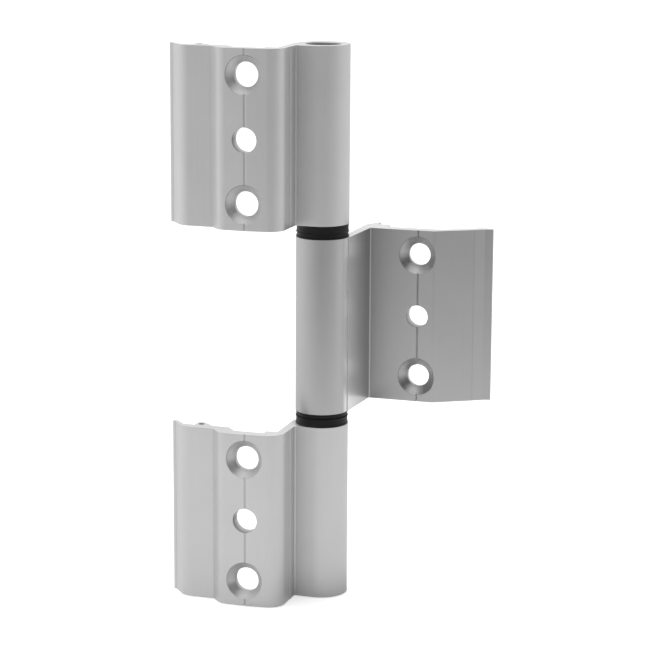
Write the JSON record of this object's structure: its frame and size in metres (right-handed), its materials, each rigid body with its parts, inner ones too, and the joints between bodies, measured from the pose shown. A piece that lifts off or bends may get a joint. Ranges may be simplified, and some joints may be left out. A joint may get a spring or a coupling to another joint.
{
  "type": "pivot hinge",
  "caption": "Leaf hinge of extruded aluminium: upper and lower leaves fold one way, the middle leaf the other, on a steel pin in flanged nylon bushes.",
  "frame": {"origin": "on the pin axis, in the plane of the lower cut end of the bottom knuckle", "axes": "+Z along the pin, upwards; -Y is the side the screws enter from; +X is the side the middle leaf points to"},
  "size_m": [0.0838, 0.0484, 0.1576],
  "materials": {
    "anodised_aluminium": "satin, natural anodised",
    "pin_steel": "bright drawn",
    "black_nylon": "moulded, matt black"
  },
  "bodies": {
    "bottom": {"bottom_leaf": "anodised_aluminium", "bottom_bush": "black_nylon"},
    "middle": {"middle_leaf": "anodised_aluminium", "lower_middle_bush": "black_nylon", "upper_middle_bush": "black_nylon", "hinge_pin": "pin_steel"},
    "top": {"top_leaf": "anodised_aluminium", "top_bush": "black_nylon"}
  },
  "joints": [
    {"name": "middle_swing", "type": "hinge", "parent": "bottom", "child": "middle", "pos_m": [0, 0, 0.0788], "axis": [0, 0, 1], "continuous": true},
    {"name": "top_swing", "type": "hinge", "parent": "bottom", "child": "top", "pos_m": [0, 0, 0.1326], "axis": [0, 0, 1], "continuous": true}
  ]
}
